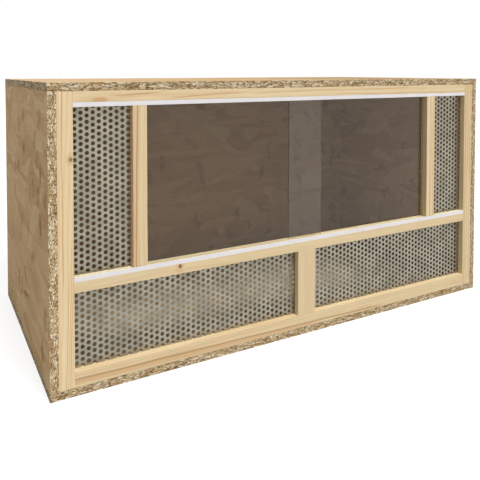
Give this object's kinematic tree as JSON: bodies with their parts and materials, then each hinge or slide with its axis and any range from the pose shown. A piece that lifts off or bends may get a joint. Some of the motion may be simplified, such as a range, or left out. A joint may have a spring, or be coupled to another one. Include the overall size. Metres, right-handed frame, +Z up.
{
  "type": "terrarium",
  "caption": "Wooden front-opening terrarium box with sliding glass panes in double-groove plastic tracks and perforated metal air vents.",
  "frame": {"origin": "middle of the underside of the bottom board", "axes": "+X to the right along the front as seen from in front, +Y from the front to the back board, +Z up"},
  "size_m": [1.08, 0.54, 0.55],
  "materials": {
    "strand_board": "pressed wood strands, unsealed and matte",
    "pine_batten": "planed softwood, matte",
    "track_plastic": "white extruded plastic, semi-gloss",
    "pane_glass": "clear float glass with ground edges",
    "perforated_sheet": "punched round holes, satin mill finish",
    "screw_steel": "zinc-plated",
    "dowel_wood": "beech, matte"
  },
  "bodies": {
    "case": {"bottom_panel": "strand_board", "top_panel": "strand_board", "left_side_panel": "strand_board", "right_side_panel": "strand_board", "back_panel": "strand_board", "left_stile": "pine_batten", "right_stile": "pine_batten", "bottom_rail": "pine_batten", "middle_rail": "pine_batten", "top_rail": "pine_batten", "left_mullion": "pine_batten", "right_mullion": "pine_batten", "centre_post": "pine_batten", "lower_track": "track_plastic", "upper_track": "track_plastic", "upper_left_vent": "perforated_sheet", "upper_right_vent": "perforated_sheet", "lower_vent": "perforated_sheet", "top_panel_screws": "screw_steel", "bottom_panel_screws": "screw_steel", "rail_dowels": "dowel_wood", "mullion_dowels": "dowel_wood", "post_dowels": "dowel_wood"},
    "left_pane": {"left_glass_pane": "pane_glass"},
    "right_pane": {"right_glass_pane": "pane_glass"}
  },
  "joints": [
    {"name": "left_pane_slide", "type": "slide", "parent": "case", "child": "left_pane", "axis": [1, 0, 0], "range_m": [0, 0.322]},
    {"name": "right_pane_slide", "type": "slide", "parent": "case", "child": "right_pane", "axis": [1, 0, 0], "range_m": [-0.322, 0]}
  ]
}
